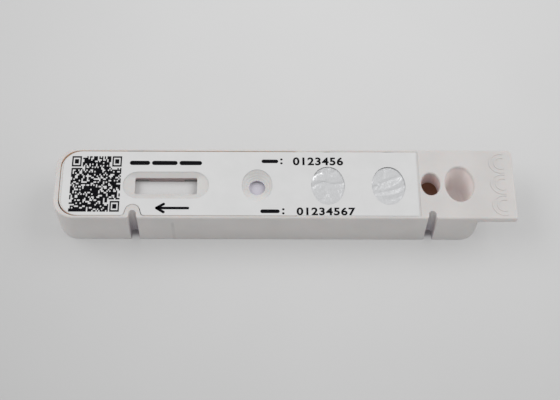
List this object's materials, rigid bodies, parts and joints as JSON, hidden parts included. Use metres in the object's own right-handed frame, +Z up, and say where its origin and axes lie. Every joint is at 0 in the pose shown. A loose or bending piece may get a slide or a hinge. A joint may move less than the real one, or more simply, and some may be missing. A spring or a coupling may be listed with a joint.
{
  "type": "lateral flow cassette",
  "caption": "Long white test cassette with a reading window, a sample port, foil-sealed wells, open wells and a finger tab.",
  "frame": {"origin": "middle of the footprint, on the surface that the cassette stands on", "axes": "+X along the cassette towards the finger tab, +Y across it away from the notched side, +Z up"},
  "size_m": [0.1182, 0.0204, 0.0123],
  "materials": {
    "casing_plastic": "satin moulded white plastic, slightly warm",
    "cover_plastic": "satin moulded white plastic",
    "label_film": "smooth white film",
    "print_ink": "thin matt black ink printed on the film",
    "seal_foil": "thin wrinkled heat-seal foil",
    "card_plastic": "plain white card",
    "membrane_film": "fine white porous film",
    "conjugate_fibre": "glass fibre mat, faintly violet",
    "sample_fibre": "fibre mat, pale violet-grey",
    "wick_paper": "thick white absorbent paper"
  },
  "bodies": {
    "root": {"body": "casing_plastic", "strip_cover": "cover_plastic", "label": "label_film", "well_seal_1": "seal_foil", "well_seal_2": "seal_foil", "backing_card": "card_plastic", "membrane": "membrane_film", "conjugate_pad": "conjugate_fibre", "sample_pad": "sample_fibre", "absorbent_pad": "wick_paper"}
  },
  "joints": []
}
